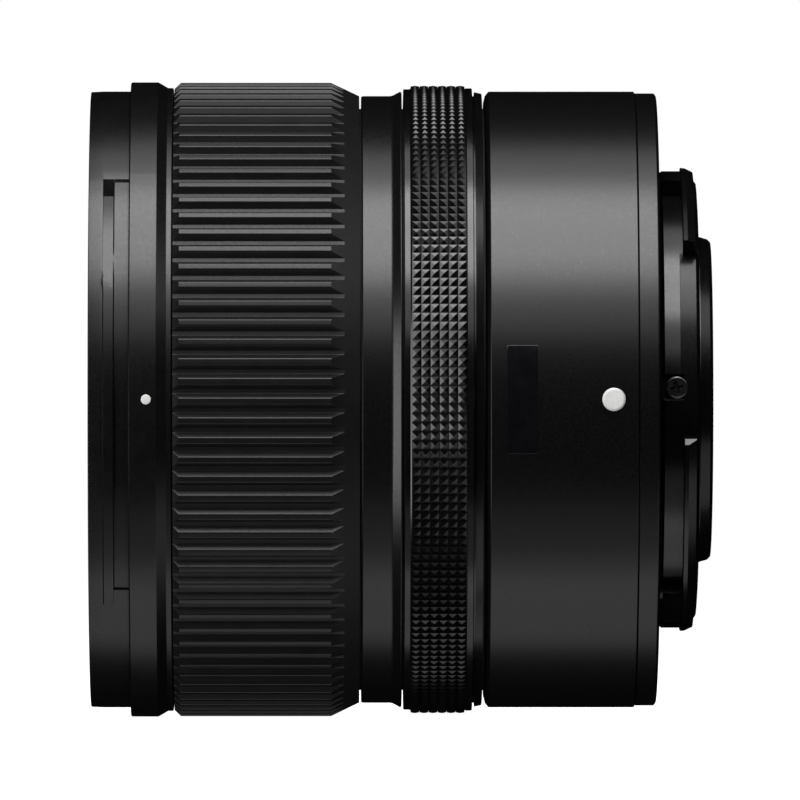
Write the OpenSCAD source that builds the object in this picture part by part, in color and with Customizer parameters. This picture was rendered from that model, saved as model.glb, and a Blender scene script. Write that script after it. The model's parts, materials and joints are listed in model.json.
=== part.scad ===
// Internal-zoom camera lens with two grip rings, cam-driven groups, iris and stabiliser.
// Millimetres. Every piece is drawn along +z with the mount flange at z = 0 and the front at +z,
// then laid down so that the front faces -Y, the index dots +X and up is +Z.

/* [Outer barrel] */
// Major diameter of the filter thread, the size that the whole barrel follows
filter_d = 67; // [62:0.5:77]
// Wall between the filter thread and the outside of the barrel
collar_wall = 1.46; // [1.3:0.02:2]
// Height of the band behind the hood collar above the barrel
band_step = 1.04; // [0.8:0.02:1.4]
// Depth of the rear ring below the barrel
rear_ring_step = 0.2; // [0:0.02:0.6]
// Depth of the fixed ring between the two grips below the barrel
mid_ring_step = 0.51; // [0.3:0.01:0.8]
// Wall of the outer rings at their thinnest
ring_wall = 1.45; // [1.2:0.05:1.8]
// Wall of the fixed barrel inside the rings
fixed_wall = 0.8; // [0.6:0.05:1.2]
// Length of the rear ring
rear_ring_len = 2.42; // [2.2:0.02:5]
// Length of the rear barrel
rear_barrel_len = 17.13; // [15:0.02:24]
// Length of the fixed ring between the two grips
mid_ring_len = 4.58; // [3:0.02:7]
// Length of the zoom ring
zoom_ring_len = 20.92; // [18:0.02:26]
// Length of the front ring
front_ring_len = 9.38; // [9:0.02:12]
// Gap between a turning ring and its neighbours
ring_gap = 0.21; // [0.15:0.01:0.4]

/* [Grips] */
// Height of the ribs of the zoom ring above the barrel
zoom_ring_step = 1; // [0.6:0.02:1.4]
// Number of ribs on the zoom ring
zoom_ribs = 102; // [60:1:140]
// Depth of the grooves between the ribs
rib_depth = 0.84; // [0.4:0.02:1]
// Share of the rib pitch taken by the flat top
rib_land = 0.33; // [0.2:0.01:0.5]
// Share of the rib pitch taken by the groove floor
groove_floor = 0.12; // [0.05:0.01:0.3]
// Height of the knurl of the control ring above the barrel
knurl_step = 0.67; // [0.4:0.01:1]
// Rows of knurl on the control ring
knurl_rows = 6; // [4:1:9]
// Pitch of the knurl rows
knurl_pitch = 1.05; // [0.8:0.01:1.4]
// Depth of the knurl
knurl_depth = 0.6; // [0.3:0.02:0.8]

/* [Front] */
// Depth of the filter thread
filter_depth = 4.2; // [4:0.1:5]
// First angle of a hood groove
hood_from = -41; // [-45:1:-20]
// Last angle of a hood groove
hood_to = 45.7; // [20:0.1:50]
// Depth of the hood groove
hood_depth = 0.8; // [0.3:0.05:0.9]
// Depth of the recess beside the hood groove
hood_recess = 0.35; // [0.1:0.05:0.5]

/* [Mount] */
// Diameter of the bayonet spigot
spigot_d = 48.2; // [46:0.1:50]
// Height of the bayonet lugs above the spigot
lug_step = 2.2; // [1.8:0.05:2.4]
// Height of the stop blocks above the spigot
stop_step = 1.83; // [1.2:0.01:2.1]
// Length of the bayonet behind the flange
bayonet_len = 4.4; // [4:0.1:5.5]
// Distance from the flange to the lugs
lug_gap = 2.75; // [2.4:0.05:3]
// Thickness of the mount flange
flange_t = 2; // [1.6:0.1:2.2]
// Number of contact pins
contacts = 11; // [7:1:12]
// Room for the contacts between the bayonet and the rear baffle
contact_room = 3.4; // [3:0.1:4.5]
// Length of the rear baffle behind the flange
baffle_len = 6.2; // [5.6:0.1:8]

/* [Cam and guide] */
// Radius of the zoom motor
motor_r = 2.7; // [2:0.1:3.2]
// Wall of the guide barrel
guide_wall = 1; // [0.8:0.05:1.1]
// Wall of the cam barrel
cam_wall = 1.1; // [0.8:0.05:1.2]
// Turn of the cam barrel from the wide end to the long end
cam_turn = 72; // [50:1:80]
// Way of the front group to the rear
front_travel = 3.6; // [2:0.1:3.6]
// Way of the variator to the front
variator_travel = 9; // [6:0.1:9]
// Radius of the cam followers
follower_r = 1; // [0.8:0.05:1.2]
// Module of the cam gear
gear_module = 0.4; // [0.3:0.01:0.4]
// Teeth of the zoom pinion
pinion_teeth = 12; // [10:1:14]
// Angle of the zoom motor around the axis
motor_angle = 130; // [110:1:150]

/* [Iris] */
// Width of a blade across its arc
blade_w = 5.5; // [5:0.1:6]
// Turn of the drive ring
iris_turn = 24; // [15:1:26]
// Turn of a blade
blade_turn = 26; // [15:1:27]
// Thickness of a blade
blade_t = 0.12; // [0.08:0.01:0.14]

/* [Stabiliser and focus] */
// Way of the stabiliser to each side
vr_travel = 0.6; // [0.3:0.05:0.6]
// Way of the focus group
focus_travel = 3.4; // [2:0.1:3.4]
// Radius of the focus rods
rod_r = 0.8; // [0.6:0.05:0.9]

/* [Fits] */
// Radial clearance of running fits
run_fit = 0.08; // [0.05:0.01:0.1]
// Radial clearance of seats
seat_fit = 0.02; // [0.01:0.01:0.05]

/* [Hidden] */
$fn = 96;
filter_r = filter_d / 2;
barrel_r = filter_r + collar_wall;
band_r = barrel_r + band_step;
rear_ring_r = barrel_r - rear_ring_step;
mid_ring_r = barrel_r - mid_ring_step;
zoom_ring_r = barrel_r + zoom_ring_step;
knurl_r = barrel_r + knurl_step;
fixed_r = min(mid_ring_r, rear_ring_r) - ring_wall;
fixed_in = fixed_r - fixed_wall;
knurl_from = 1.76;
knurl_border = 0.81;
control_ring_len = knurl_from + knurl_rows * knurl_pitch + knurl_border;
z_rear_barrel = rear_ring_len;
z_control = z_rear_barrel + rear_barrel_len + ring_gap;
z_mid = z_control + control_ring_len + ring_gap;
z_zoom = z_mid + mid_ring_len + ring_gap;
z_front = z_zoom + zoom_ring_len + ring_gap;
z_rim = z_front + front_ring_len;
z_band = z_rim - 4.66;
z_thread = z_rim - filter_depth;
z_web = z_thread - 1.04;
z_seat = z_web - 1.4;
spigot_r = spigot_d / 2;
lug_r = spigot_r + lug_step;
stop_r = spigot_r + stop_step;
land_r = lug_r + 0.6;
spigot_in = spigot_r - 2.2;
ledge_in = spigot_in - 1.9;
baffle_r = spigot_in - contact_room;
mount_screw_r = (land_r + fixed_r) / 2;
screw_head = 0.26 * (fixed_r - land_r);
z_ledge = -2.4;
z_frame = flange_t + 3;
focus_gap = 1.4;
focus_sleeve = 3.4;
z_guide = z_frame + focus_gap + focus_sleeve + focus_travel + 0.3;
guide_t = 1;
pinion_pitch_r = gear_module * pinion_teeth / 2;
gear_teeth = floor((fixed_in - 0.1 - motor_r - pinion_pitch_r) * 2 / gear_module + 0.01);
gear_pitch_r = gear_module * gear_teeth / 2;
pinion_circle = gear_pitch_r + pinion_pitch_r;
cam_r = gear_pitch_r - 2.3 * gear_module;
cam_in = cam_r - cam_wall;
guide_r = cam_in - run_fit;
guide_in = guide_r - guide_wall;
rod_circle = guide_r + rod_r + 0.3;
group_r = guide_in - run_fit;
z_cam = z_guide + guide_t + 0.1;
z_cam_end = z_front - 2.9;
gear_w = 1.8;
z_gear = z_cam + 0.4;
z_var = z_guide + 1.5;
z_var_pin = z_var + 3;
z_g1 = z_rim - 8.34;
z_g1_pin = z_g1 - 9.6;
slot_clear = 0.06;
blades = 7;
pivot_r = group_r - 7.82;
iris_open_r = pivot_r - blade_w - 3.3;
z_blades = z_var + 7.25;
layer = 0.2;
sensor_angle = 215;
z_zoom_scale = z_zoom + 3;
z_control_scale = z_control + 3;
scale_w = 3;
front_r = guide_in - 2.6;
front_R = 2.35 * front_r;
front_clear = front_r - 3;
front_back_R = 1.31 * front_clear;
front_t = 2.2;
z_front_lens = z_rim - 6.14;
second_r = front_r - 4.8;
second_t = 1.5;
second_R = 4.85 * second_r;
second_clear = second_r - 3.9;
second_back_R = 1.43 * second_clear;
third_r = second_clear - 1;
third_R = 2.24 * third_r;
z_front_seat = z_front_lens - front_t - sag(front_back_R, front_clear);
z_second_lens = z_front_seat + 2.27;
z_second_seat = z_second_lens - second_t - sag(second_back_R, second_clear);
z_third_lens = z_second_lens - second_t - 2.2;
z_third_seat = z_third_lens - 4.3;
variator_r = group_r - 14.32;
z_variator_lens = z_var + 13.6;
vr_r = group_r - 15.82;
vr_pin = group_r - 9.82;
focus_r = group_r - 12.82;
rear_r = baffle_r - 5.3;
rod_angles = [200, 20];
screw_angle = 290;

// Depth of a spherical cap of radius big over the half width small
function sag(big, small) = big - sqrt(big * big - small * small);

// Turns a plane point about the origin
function turned(p, a) = [p.x * cos(a) - p.y * sin(a), p.x * sin(a) + p.y * cos(a)];

// Involute function in degrees
function involute(a) = tan(a) * 180 / PI - a;

// Half angle of a gear tooth at radius r
function tooth_half(teeth, m, r, play) =
    90 / teeth - play + involute(20)
    - involute(acos(min(1, m * teeth / 2 * cos(20) / r)));

// Outline of one gear tooth pointing along +x, from the root over the tip to the root
function tooth(teeth, m, low, high, play) = concat(
    [for (i = [0:5]) let (r = low + (high - low) * i / 5)
        turned([r, 0], -tooth_half(teeth, m, r, play))],
    [for (i = [5:-1:0]) let (r = low + (high - low) * i / 5)
        turned([r, 0], tooth_half(teeth, m, r, play))]);

// Path of a blade's drive pin as seen from the drive ring, t from 0 to 1
function drive_path(t) =
    turned([pivot_r, 0] + turned(turned([pivot_r, 0], -12) - [pivot_r, 0], blade_turn * t),
        -iris_turn * t);

// Direction across that path
function drive_side(t) =
    let (d = drive_path(t + 0.04) - drive_path(t - 0.04)) [-d.y, d.x] / norm(d);

// Lays a piece drawn along +z down into the shared frame
module lay() {
    rotate([90, 0, 0]) children();
}

module lathe(points) {
    rotate_extrude() polygon(points);
}

// Round wall between two radii
module tube(r_out, r_in, z0, z1) {
    difference() {
        translate([0, 0, z0]) cylinder(r = r_out, h = z1 - z0);
        translate([0, 0, z0 - 1]) cylinder(r = r_in, h = z1 - z0 + 2);
    }
}

// Part of a round wall from angle a0 to a1
module arc_block(r0, r1, z0, z1, a0, a1) {
    rotate([0, 0, a0]) rotate_extrude(angle = a1 - a0)
        translate([r0, z0]) square([r1 - r0, z1 - z0]);
}

// Round rod along the axis at radius ring and angle a
module post(r, ring, a, z0, z1) {
    rotate([0, 0, a]) translate([ring, 0, z0]) cylinder(r = r, h = z1 - z0, $fn = 40);
}

// Round rod standing out from the axis
module spoke(r, x0, x1, a, z) {
    rotate([0, 0, a]) translate([x0, 0, z]) rotate([0, 90, 0])
        cylinder(r = r, h = x1 - x0, $fn = 40);
}

// Box standing out from the axis
module bar(x0, x1, w, z0, z1, a) {
    rotate([0, 0, a]) translate([x0, -w / 2, z0]) cube([x1 - x0, w, z1 - z0]);
}

// Slot along the axis through a wall at angle a
module axial_slot(r, x0, x1, a, z0, z1) {
    spoke(r, x0, x1, a, z0);
    spoke(r, x0, x1, a, z1);
    bar(x0, x1, 2 * r, z0, z1, a);
}

// Slot through a plate, drawn out along x or along y
module plate_slot(x, y, r, along_x, along_y, z0, z1) {
    for (s = [-1, 1])
        translate([x + s * along_x, y + s * along_y, z0]) cylinder(r = r, h = z1 - z0, $fn = 40);
    translate([x - along_x - (along_y > 0 ? r : 0), y - along_y - (along_x > 0 ? r : 0), z0])
        cube([2 * along_x + (along_y > 0 ? 2 * r : 0),
            2 * along_y + (along_x > 0 ? 2 * r : 0), z1 - z0]);
}

// Lens with its front vertex at z; a positive radius bulges outwards, a negative one is hollow
module lens(r, z, t, big_front, big_back, clear) {
    top = big_front < 0 ? z + sag(-big_front, clear) : z;
    low = big_back < 0 ? z - t - sag(-big_back, clear) : z - t;
    difference() {
        intersection() {
            translate([0, 0, low]) cylinder(r = r, h = top - low);
            if (big_front > 0) translate([0, 0, z - big_front]) sphere(r = big_front);
            if (big_back > 0) translate([0, 0, z - t + big_back]) sphere(r = big_back);
        }
        if (big_front < 0) translate([0, 0, z - big_front]) sphere(r = -big_front);
        if (big_back < 0) translate([0, 0, z - t + big_back]) sphere(r = -big_back);
    }
}

// Winding slot through the cam wall; the follower stands at angle a and moves from z0 by rise
module cam_slot(a, z0, rise) {
    steps = 18;
    past = (follower_r + 0.3) / cam_r * 180 / PI;
    slope = atan(abs(rise) / (cam_turn * PI / 180 * cam_r));
    w = (follower_r + slot_clear) / cos(slope) + 0.02;
    low = cam_in - 1;
    high = cam_r + 1;
    span = cam_turn + 2 * past;
    points = [for (i = [0:steps])
        let (b = a - cam_turn - past + span * i / steps, z = z0 + rise * (a - b) / cam_turn)
        for (p = [[low, -w], [high, -w], [high, w], [low, w]])
            [p.x * cos(b), p.x * sin(b), z + p.y]];
    sides = [for (i = [0:steps - 1], k = [0:3]) let (n = (k + 1) % 4, q = 4 * i)
        for (f = [[q + k, q + n, q + 4 + n], [q + k, q + 4 + n, q + 4 + k]]) f];
    ends = [[0, 3, 2], [0, 2, 1],
        [4 * steps, 4 * steps + 1, 4 * steps + 2], [4 * steps, 4 * steps + 2, 4 * steps + 3]];
    polyhedron(points = points, faces = concat(sides, ends), convexity = 6);
}

// Lug of the bayonet with its lead-in cone
module lug(a0, a1) {
    rotate([0, 0, a0]) rotate_extrude(angle = a1 - a0)
        polygon([[spigot_r - 1, -lug_gap], [lug_r - 0.1, -lug_gap], [lug_r, -lug_gap - 0.1],
            [lug_r, -lug_gap - 0.6], [spigot_r + 0.6, -bayonet_len],
            [spigot_r - 1, -bayonet_len]]);
}

module bayonet_mount() {
    color("#1c1c1e") difference() {
        union() {
            lathe([[ledge_in, z_ledge], [spigot_in, z_ledge], [spigot_in, -bayonet_len],
                [spigot_r - 0.2, -bayonet_len], [spigot_r, -bayonet_len + 0.2], [spigot_r, 0.4],
                [land_r, 0.4], [land_r, 0], [fixed_r, 0], [fixed_r, flange_t],
                [ledge_in, flange_t]]);
            lug(43, 91);
            lug(-77, -11.4);
            lug(134, 182);
            lug(214, 262);
            arc_block(spigot_r - 1, stop_r, -lug_gap - 0.2, 0.6, 72.8, 91);
            arc_block(spigot_r - 1, stop_r, -lug_gap - 0.2, 0.6, -77, -57.8);
            arc_block(spigot_r - 1, stop_r, -lug_gap - 0.2, 0.6, 164, 182);
        }
        for (a = [45:90:315]) {
            post(0.85, mount_screw_r, a, -1, flange_t + 1);
            rotate([0, 0, a]) translate([mount_screw_r, 0, -0.01])
                cylinder(r1 = screw_head, r2 = 0.85, h = screw_head - 0.85, $fn = 40);
        }
        rotate([0, 0, 100]) for (x = [0:1]) translate([mount_screw_r, x * 1.4, -0.5])
            cylinder(r = 1.2, h = flange_t + 1, $fn = 40);
        rotate([0, 0, 100]) translate([mount_screw_r - 1.2, 0, -0.5])
            cube([2.4, 1.4, flange_t + 1]);
        bar(spigot_r - 0.55, spigot_r + 3, 3, -3.4, 0.4, 3);
        spoke(0.82, spigot_in - 1, spigot_r + 1, 3, -1.7);
        for (a = [60, 300]) post(0.52, (spigot_in + ledge_in) / 2, a, z_ledge - 1, -0.4);
    }
}

module mount_screws() {
    color("#3a3a3c") for (a = [45:90:315]) difference() {
        union() {
            rotate([0, 0, a]) translate([mount_screw_r, 0, 0.08])
                cylinder(r1 = screw_head - 0.12, r2 = 0.83, h = screw_head - 0.95, $fn = 40);
            post(0.83, mount_screw_r, a, 0.3, z_frame - 0.4);
        }
        rotate([0, 0, a]) translate([mount_screw_r, 0, 0]) for (t = [0, 90]) rotate([0, 0, t])
            translate([-0.8, -0.16, -0.1]) cube([1.6, 0.32, 0.6]);
    }
}

module stop_screw() {
    color("#4a4a4d") difference() {
        union() {
            spoke(1.2, spigot_r - 0.53, spigot_r - 0.05, 3, -1.7);
            spoke(0.8, spigot_in + 0.2, spigot_r - 0.4, 3, -1.7);
        }
        rotate([0, 0, 3]) translate([spigot_r - 0.45, 0, -1.7]) for (t = [0, 90])
            rotate([t, 0, 0]) translate([0, -0.75, -0.15]) cube([1, 1.5, 0.3]);
    }
}

module contact_block() {
    color("#161617") difference() {
        arc_block(baffle_r + 0.3, spigot_in - 0.1, z_ledge - 2.3, z_ledge - 1, 144, 216);
        for (i = [0:contacts - 1])
            post(0.56, baffle_r + 1.7, 180 + (i - (contacts - 1) / 2) * 6, z_ledge - 3, z_ledge);
    }
}

module contact_pins() {
    color("#d2a24a") for (i = [0:contacts - 1])
        rotate([0, 0, 180 + (i - (contacts - 1) / 2) * 6]) translate([baffle_r + 1.7, 0, 0]) {
            translate([0, 0, z_ledge - 2.45]) cylinder(r = 0.54, h = 1.45, $fn = 32);
            intersection() {
                translate([0, 0, z_ledge - 2.65]) cylinder(r = 0.54, h = 0.4, $fn = 32);
                translate([0, 0, z_ledge - 1.85]) sphere(r = 0.8, $fn = 32);
            }
        }
}

module rear_baffle() {
    color("#121213") difference() {
        lathe([[baffle_r - 1.3, z_ledge], [spigot_in - 0.05, z_ledge],
            [spigot_in - 0.05, z_ledge - 1], [baffle_r, z_ledge - 1], [baffle_r, -4.8],
            [baffle_r - 0.3, -baffle_len + 0.35], [baffle_r - 0.65, -baffle_len],
            [1, -baffle_len], [1, -baffle_len + 0.6], [baffle_r - 1.3, -baffle_len + 0.6]]);
        translate([-0.497 * baffle_r, -0.67 * baffle_r, -baffle_len - 1])
            cube([0.994 * baffle_r, 1.34 * baffle_r, 2]);
        for (a = [60, 300]) post(0.52, (spigot_in + ledge_in) / 2, a, z_ledge - 2, 0);
    }
}

module small_screw() {
    difference() {
        union() {
            cylinder(r = 0.85, h = 0.5, $fn = 32);
            translate([0, 0, -2.2]) cylinder(r = 0.5, h = 2.3, $fn = 32);
        }
        for (t = [0, 90]) rotate([0, 0, t]) translate([-0.5, -0.12, 0.2]) cube([1, 0.24, 1]);
    }
}

module small_screws() {
    color("#55565a") {
        for (a = [60, 300]) rotate([0, 0, a])
            translate([(spigot_in + ledge_in) / 2, 0, z_ledge - 1]) rotate([180, 0, 0])
                small_screw();
        for (a = [0, 90, 240]) rotate([0, 0, a])
            translate([fixed_in - 1.7, 0, z_guide + guide_t]) small_screw();
    }
}

module rear_ring() {
    color("#232325") lathe([[fixed_r + seat_fit, 0], [rear_ring_r - 0.25, 0],
        [rear_ring_r - 0.07, 0.07], [rear_ring_r, 0.25],
        [rear_ring_r, rear_ring_len - 0.08], [rear_ring_r - 0.08, rear_ring_len],
        [fixed_r + seat_fit, rear_ring_len]]);
}

module rear_barrel() {
    z1 = z_rear_barrel + rear_barrel_len;
    color("#232325") difference() {
        lathe([[fixed_r + seat_fit, z_rear_barrel], [barrel_r - 0.2, z_rear_barrel],
            [barrel_r, z_rear_barrel + 0.35], [barrel_r, z1 - 0.55], [barrel_r - 0.41, z1],
            [fixed_r + seat_fit, z1]]);
        arc_block(barrel_r - 0.46, barrel_r + 1, z1 - 5.82, z1 - 2.32, -10.05, 10.05);
        spoke(1.33, barrel_r - 0.9, barrel_r + 1, 0, z_rear_barrel + 2.87);
    }
}

module name_plate() {
    z1 = z_rear_barrel + rear_barrel_len;
    color("#0d0d0f") arc_block(barrel_r - 0.44, barrel_r + 0.03, z1 - 5.79, z1 - 2.35, -10, 10);
}

module mount_index() {
    color("#f2f2ee") intersection() {
        spoke(1.31, barrel_r - 0.88, barrel_r + 1, 0, z_rear_barrel + 2.87);
        translate([barrel_r + 0.34 - 3.4, 0, z_rear_barrel + 2.87]) sphere(r = 3.4);
    }
}

module fixed_barrel() {
    color("#2b2b2d") difference() {
        union() {
            tube(fixed_r, fixed_in, flange_t, z_seat);
            tube(fixed_r - 0.3, guide_r + 4, z_guide - 2, z_guide);
        }
        bar(fixed_in - 1, fixed_r + 1, 4.2, z_zoom_scale - 0.1, z_zoom_scale + scale_w + 0.1,
            sensor_angle);
        bar(fixed_in - 1, fixed_r + 1, 4.2, z_control_scale - 0.1,
            z_control_scale + scale_w + 0.1, sensor_angle);
        for (a = [0, 90, 240]) post(0.52, fixed_in - 1.7, a, z_guide - 1.4, z_guide + 1);
    }
}

module mid_ring() {
    r = mid_ring_r;
    color("#232325") lathe([[fixed_r + seat_fit, z_mid], [barrel_r - 0.1, z_mid],
        [barrel_r, z_mid + 0.15], [r, z_mid + 1.12], [r, z_mid + mid_ring_len - 0.12],
        [r - 0.12, z_mid + mid_ring_len], [fixed_r + seat_fit, z_mid + mid_ring_len]]);
}

module front_ring() {
    deep = barrel_r - hood_depth;
    color("#1f1f21") difference() {
        lathe([[fixed_r + seat_fit, z_front], [band_r - 0.74, z_front],
            [band_r - 0.64, z_front + 0.1], [band_r - 0.64, z_front + 0.58],
            [band_r, z_front + 1.77], [band_r, z_band - 0.15], [band_r - 0.15, z_band],
            [barrel_r, z_band], [barrel_r, z_rim - 1.4], [barrel_r - 0.08, z_rim - 0.35],
            [barrel_r - 0.43, z_rim], [filter_r + 0.3, z_rim], [filter_r, z_rim - 0.3],
            [filter_r, z_thread], [filter_r - 0.6, z_thread], [filter_r - 0.6, z_web],
            [fixed_in - 2, z_web], [fixed_in - 2, z_seat], [fixed_r + seat_fit, z_seat]]);
        for (t = [0, 180]) {
            arc_block(deep, barrel_r + 2, z_rim - 2.91, z_rim - 1.75, t + hood_from, t + hood_to);
            arc_block(barrel_r - hood_recess, barrel_r + 2, z_band, z_rim - 2.9,
                t + hood_from + 3.4, t + hood_to);
        }
        spoke(0.58, band_r - 0.4, band_r + 1, 0, z_front + 2.74);
    }
}

module hood_index() {
    color("#f2f2ee") spoke(0.56, band_r - 0.38, band_r + 0.02, 0, z_front + 2.74);
}

module front_bezel() {
    r = filter_r - 0.65;
    color("#18181a") lathe([[fixed_in - 2.1, z_web], [r, z_web], [r, z_thread - 0.2],
        [fixed_in - 3.5, z_thread - 0.2], [guide_in - 0.7, z_web - 1.5],
        [guide_in - 0.7, z_web - 2.3], [guide_in + 0.3, z_web - 2.3]]);
}

module guide_barrel() {
    color("#4d5054") difference() {
        union() {
            tube(guide_r, guide_in, z_guide, z_cam_end + 1.1);
            tube(fixed_in - 0.05, guide_in, z_guide, z_guide + guide_t);
        }
        for (a = [30, 150, 270])
            axial_slot(follower_r + slot_clear, guide_in - 2, guide_r + 2, a,
                z_g1_pin - front_travel - 0.2, z_g1_pin + 0.2);
        for (a = [90, 210, 330])
            axial_slot(follower_r + slot_clear, guide_in - 2, guide_r + 2, a,
                z_var_pin - 0.2, z_var_pin + variator_travel + 0.2);
        for (a = [0, 90, 240]) post(0.52, fixed_in - 1.7, a, z_guide - 1, z_guide + 2);
        for (a = rod_angles) post(rod_r + seat_fit, rod_circle, a, z_guide - 1, z_guide + 0.7);
        post(rod_r - 0.3 + run_fit, rod_circle, screw_angle, z_guide - 1, z_guide + 0.7);
    }
}

module cam_retainer() {
    color("#3c3e41") tube(cam_r, guide_r + seat_fit, z_cam_end + 0.1, z_cam_end + 1.1);
}

module rear_frame() {
    color("#303235") difference() {
        union() {
            tube(fixed_in - 0.05, fixed_in - 4.5, flange_t, z_frame);
            tube(fixed_in - 2, rear_r + 2.35, z_frame - 1.6, z_frame);
        }
        for (a = [45:90:315]) post(0.86, mount_screw_r, a, 0, z_frame - 0.3);
        for (a = rod_angles) post(rod_r + seat_fit, rod_circle, a, z_frame - 1.2, z_frame + 1);
    }
}

module rear_cell() {
    color("#26272a") lathe([[rear_r - 0.9, -4.1], [rear_r + 1.6, -4.1], [rear_r + 2.3, -3.4],
        [rear_r + 2.3, z_frame], [rear_r + 4, z_frame], [rear_r + 4, z_frame + 0.8],
        [rear_r + seat_fit, z_frame + 0.8], [rear_r + seat_fit, 1.9], [rear_r - 0.9, 1.9],
        [rear_r - 0.9, 0.9], [rear_r + seat_fit, 0.9], [rear_r + seat_fit, -3],
        [rear_r - 0.9, -3]]);
}

module rear_outer_element() {
    color("#9fb7c4") lens(rear_r, 0.9, 5, 0, 3.18 * rear_r, 0);
}

module rear_inner_element() {
    color("#9fb7c4") lens(rear_r, 5, 3.1, 3.48 * rear_r, 0, 0);
}

module main_board() {
    color("#1d5a3c") {
        tube(fixed_in - 5.2, ledge_in + 0.2, flange_t, flange_t + 0.7);
        for (a = [20, 75, 110, 160, 250, 330])
            bar(ledge_in + 1.6, fixed_in - 7.5, 4.2, flange_t + 0.7, flange_t + 1.2, a);
    }
}

module zoom_motor() {
    z0 = z_gear + gear_w + 0.5;
    color("#8b8f94") difference() {
        union() {
            rotate([0, 0, motor_angle]) translate([pinion_circle, 0, 0]) {
                translate([0, 0, z0 + 0.9]) cylinder(r = motor_r, h = 12, $fn = 48);
                translate([0, 0, z0 + 12.8]) cylinder(r = 1.2, h = 0.6, $fn = 32);
            }
            arc_block(cam_r + 0.6, fixed_in - 0.05, z0, z0 + 0.9, motor_angle - 9,
                motor_angle + 9);
        }
        post(0.5 + run_fit, pinion_circle, motor_angle, z0 - 1, z0 + 4);
    }
}

module focus_motor() {
    color("#8b8f94") difference() {
        union() {
            post(3.2, rod_circle - 0.4, screw_angle, z_frame, z_frame + 2.8);
            post(1.3, rod_circle, screw_angle, z_frame, z_frame + 3.2);
        }
        post(rod_r - 0.3 + run_fit, rod_circle, screw_angle, z_frame + 0.8, z_frame + 5);
    }
}

module focus_rods() {
    color("#c9ccd0") for (a = rod_angles) post(rod_r, rod_circle, a, z_frame - 1.2, z_guide + 0.6);
}

module ring_sensors() {
    color("#15161a") for (z = [z_zoom_scale, z_control_scale])
        bar(fixed_in - 1, fixed_r - 0.15, 4.1, z - 0.05, z + scale_w + 0.05, sensor_angle);
}

module zoom_ring() {
    r = zoom_ring_r;
    floor_r = r - rib_depth;
    pitch = 360 / zoom_ribs;
    h1 = rib_land * pitch / 2;
    h0 = (1 - groove_floor) * pitch / 2;
    h2 = max(0.04, h1 + (h1 - h0) * 0.2 / rib_depth);
    outline = [for (i = [0:zoom_ribs - 1]) let (a = i * pitch)
        for (p = [[floor_r, -h0], [r + 0.2, -h2], [r + 0.2, h2], [floor_r, h0]])
            turned([p.x, 0], a + p.y)];
    color("#1e1e20") difference() {
        intersection() {
            translate([0, 0, z_zoom - 1]) linear_extrude(zoom_ring_len + 2) polygon(outline);
            lathe([[0, z_zoom], [r - 1.53, z_zoom], [r, z_zoom + 3.18],
                [r, z_zoom + zoom_ring_len - 0.7], [r - 0.7, z_zoom + zoom_ring_len],
                [0, z_zoom + zoom_ring_len]]);
        }
        translate([0, 0, z_zoom - 2]) cylinder(r = fixed_r + run_fit, h = zoom_ring_len + 4);
        translate([0, 0, z_zoom_scale - 0.02])
            cylinder(r = fixed_r + 0.9, h = scale_w + 0.04);
    }
}

module scale_band(z) {
    difference() {
        tube(fixed_r + 0.88, fixed_r + 0.1, z, z + scale_w);
        for (i = [0:29]) bar(fixed_r - 1, fixed_r + 0.4, 1.2, z + 0.6, z + scale_w - 0.6, i * 12);
    }
}

module zoom_scale() {
    color("#77787c") scale_band(z_zoom_scale);
}

module control_ring() {
    r = knurl_r;
    low = r - knurl_depth;
    z0 = z_control;
    k0 = z0 + knurl_from;
    k1 = k0 + knurl_rows * knurl_pitch;
    z1 = z0 + control_ring_len;
    color("#1e1e20") difference() {
        lathe(concat([[fixed_r + run_fit, z0], [r - 0.93, z0], [r - 0.77, z0 + 0.86],
            [r - 0.62, z0 + 0.98], [r - 0.3, z0 + 1.35], [r - 0.3, k0 - 0.02]],
            [for (i = [0:knurl_rows - 1])
                for (p = [[low, k0 + i * knurl_pitch], [r, k0 + (i + 0.5) * knurl_pitch]]) p],
            [[low, k1], [r - 0.34, k1 + 0.02], [r - 0.34, z1 - 0.2], [r - 0.54, z1],
            [fixed_r + run_fit, z1]]));
        translate([0, 0, z_control_scale - 0.02])
            cylinder(r = fixed_r + 0.9, h = scale_w + 0.04);
    }
}

module control_scale() {
    color("#77787c") scale_band(z_control_scale);
}

module cam_barrel() {
    color("#6d7176") difference() {
        tube(cam_r, cam_in, z_cam, z_cam_end);
        for (a = [30, 150, 270]) cam_slot(a, z_g1_pin, -front_travel);
        for (a = [90, 210, 330]) cam_slot(a, z_var_pin, variator_travel);
    }
}

module cam_gear() {
    pitch = 360 / gear_teeth;
    root = gear_pitch_r - 1.25 * gear_module;
    back = ceil((cam_turn + 9) / pitch);
    first = motor_angle - (back + 0.5) * pitch;
    last = motor_angle + 4.5 * pitch;
    rest = 360 - (last - first);
    toothed = [for (i = [-back:4])
        for (p = tooth(gear_teeth, gear_module, root, gear_pitch_r + 0.9 * gear_module, 0.06))
            turned(p, motor_angle + i * pitch)];
    plain = [for (i = [0:60]) turned([root, 0], last + rest * i / 60)];
    color("#b9bcc0") difference() {
        translate([0, 0, z_gear]) linear_extrude(gear_w) polygon(concat(toothed, plain));
        translate([0, 0, z_gear - 1]) cylinder(r = cam_r + seat_fit, h = gear_w + 2, $fn = 360);
    }
}

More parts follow.
